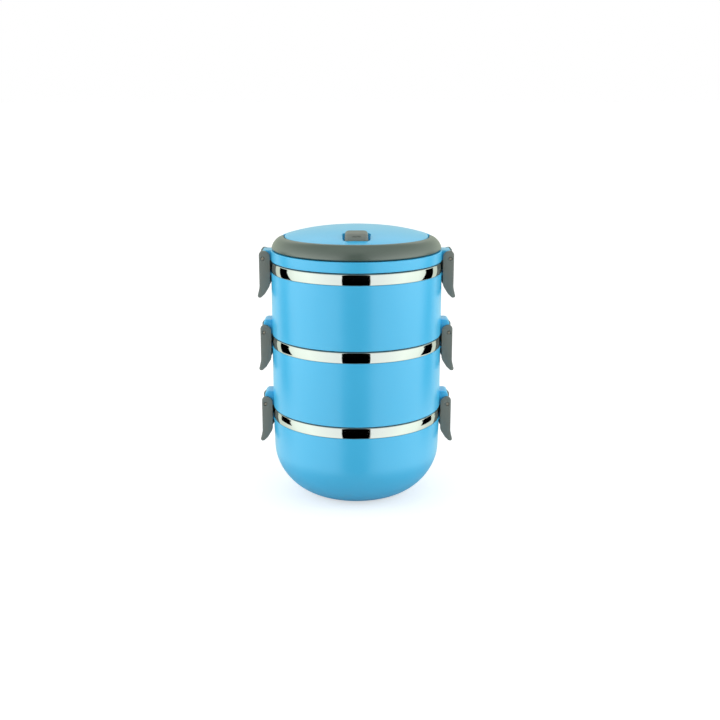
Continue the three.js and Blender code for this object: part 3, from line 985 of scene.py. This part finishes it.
def stage_material(name, shade, sheen):
    """A plain rough material for the floor and the flags."""
    made, tree, shader, node = material(name)
    shader.inputs["Base Color"].default_value = (*neutral(shade), 1)
    shader.inputs["Roughness"].default_value = 0.7
    shader.inputs["Specular IOR Level"].default_value = sheen
    return made, tree, shader, node


def floor():
    """A floor that the camera sees as white, apart from a faint shadow where the carrier stands. In
    reflections it shows only close to the carrier, so that the steel bands mirror the studio."""
    corners = [(x * FLOOR_HALF, y * FLOOR_HALF, 0) for x, y in ((-1, -1), (1, -1), (1, 1), (-1, 1))]
    made = mesh_object("floor", corners, [(0, 1, 2, 3)])
    look, tree, shader, node = stage_material("floor", 0.6, 0.2)
    path = node("ShaderNodeLightPath").outputs
    glow = node("ShaderNodeMapRange", Value=path["Is Camera Ray"], To_Max=FLOOR_GLOW)
    shader.inputs["Emission Color"].default_value = (1, 1, 1, 1)
    tree.links.new(glow.outputs["Result"], shader.inputs["Emission Strength"])
    place = node("ShaderNodeTexCoord").outputs["Object"]
    away = node("ShaderNodeVectorMath", {"operation": "LENGTH"}, Vector=place).outputs["Value"]
    near_edge, far_edge = FLOOR_MIRRORED_TO
    far = node("ShaderNodeMapRange", Value=away, From_Min=near_edge, From_Max=far_edge)
    unseen = node("ShaderNodeMath", {"operation": "MULTIPLY"})
    tree.links.new(far.outputs["Result"], unseen.inputs[0])
    tree.links.new(path["Is Glossy Ray"], unseen.inputs[1])
    choice = node("ShaderNodeMixShader", Fac=unseen.outputs["Value"])
    tree.links.new(shader.outputs["BSDF"], choice.inputs[1])
    tree.links.new(node("ShaderNodeBsdfTransparent").outputs["BSDF"], choice.inputs[2])
    tree.links.new(choice.outputs["Shader"], tree.nodes["Material Output"].inputs["Surface"])
    made.data.materials.append(look)


def flag(name, azimuth, distance, outline):
    """A black, upright studio flag that only shows in reflections, at an azimuth from the front."""
    made = slab(name, outline, 10)
    a = radians(azimuth)
    place = Matrix.Translation(Vector((sin(a), -cos(a), 0)) * distance * MM)
    made.data.transform(place @ Matrix.Rotation(a, 4, "Z"))
    made.data.materials.append(stage_material(name, 0.0, 0.0)[0])
    made.visible_camera = False
    made.visible_diffuse = False
    made.visible_shadow = False
    made.visible_transmission = False


def softbox(name, azimuth, elevation, distance, size, power, glossy):
    """A rectangular soft light, aimed at the middle of the carrier."""
    data = bpy.data.lights.new(name, "AREA")
    data.shape = "RECTANGLE"
    data.size, data.size_y = size
    data.energy = power
    made = bpy.data.objects.new(name, data)
    bpy.context.scene.collection.objects.link(made)
    target = Vector((0, 0, 0.11))
    a, e = radians(azimuth), radians(elevation)
    way = Vector((sin(a) * cos(e), -cos(a) * cos(e), sin(e)))
    made.location = target + way * distance
    made.rotation_euler = way.to_track_quat("Z", "Y").to_euler()
    made.visible_camera = False
    made.visible_glossy = glossy


def ramp_of(node, value, stops):
    """A ramp of coloured stops, over a value from -1 to 1."""
    share = node("ShaderNodeMapRange", Value=value, From_Min=-1.0, From_Max=1.0).outputs["Result"]
    ramp = node("ShaderNodeValToRGB", Fac=share)
    elements = ramp.color_ramp.elements
    while len(elements) < len(stops):
        elements.new(0.5)
    for element, (place, shade) in zip(elements, stops):
        element.position = (place + 1) / 2
        element.color = (*shade, 1)
    return ramp.outputs["Color"]


def walls(node, direction, along, upward):
    """Studio walls, shaded from front to back and from straight down to straight up."""
    color = ramp_of(node, direction["Y"], along)
    strength = ramp_of(node, direction["Z"], upward)
    return node("ShaderNodeBackground", Color=color, Strength=strength).outputs["Background"]


def studio_walls():
    """The world: white to the camera, bright at the sides in reflections, and soft as light."""
    world = bpy.data.worlds.new("studio")
    world.use_nodes = True
    tree = world.node_tree
    tree.nodes.remove(tree.nodes["Background"])
    node = node_maker(tree)
    way = node("ShaderNodeTexCoord").outputs["Generated"]
    direction = node("ShaderNodeSeparateXYZ", Vector=way).outputs
    mirrored = walls(node, direction, MIRRORED_ALONG, MIRRORED_UPWARD)
    lit = walls(node, direction, LIT_ALONG, LIT_UPWARD)
    path = node("ShaderNodeLightPath").outputs
    white = node("ShaderNodeBackground", Color=(1, 1, 1, 1), Strength=1.0).outputs["Background"]
    shown = mirrored
    for ray, kind in (("Is Diffuse Ray", lit), ("Is Camera Ray", white)):
        choice = node("ShaderNodeMixShader", Fac=path[ray])
        tree.links.new(shown, choice.inputs[1])
        tree.links.new(kind, choice.inputs[2])
        shown = choice.outputs["Shader"]
    tree.links.new(shown, tree.nodes["World Output"].inputs["Surface"])
    bpy.context.scene.world = world


def studio():
    """The world, the floor, a soft light at each side and behind, and the flags."""
    studio_walls()
    floor()
    for name, azimuth in (("left_softbox", -75), ("right_softbox", 75)):
        softbox(name, azimuth, elevation=18, distance=1.5, size=(1.3, 1.2), power=9, glossy=False)
    softbox("back_softbox", 180, elevation=38, distance=1.6, size=(1.4, 0.5), power=2.0, glossy=True)
    flag("front_flag", -0.4, 900, FRONT_FLAG)
    flag("right_flag", 112, 800, SIDE_FLAG)
    flag("left_flag", -112, 800, [(-across, up) for across, up in SIDE_FLAG])
    bpy.context.scene.view_settings.view_transform = "Standard"


CAMERA_AT = (0, -0.9474, 0.3611)
CAMERA_PITCH = 14.5
CAMERA_LENS = 56.2
CAMERA_SHIFT = 0.0049


def camera():
    """The photo's view, as fitted: almost a metre off, and a little above the lid."""
    data = bpy.data.cameras.new("camera")
    data.lens = CAMERA_LENS
    data.sensor_width = 36
    data.shift_x = CAMERA_SHIFT
    made = bpy.data.objects.new("camera", data)
    made.location = CAMERA_AT
    made.rotation_euler = (radians(90 - CAMERA_PITCH), 0, 0)
    bpy.context.scene.collection.objects.link(made)
    bpy.context.scene.camera = made


studio()
camera()
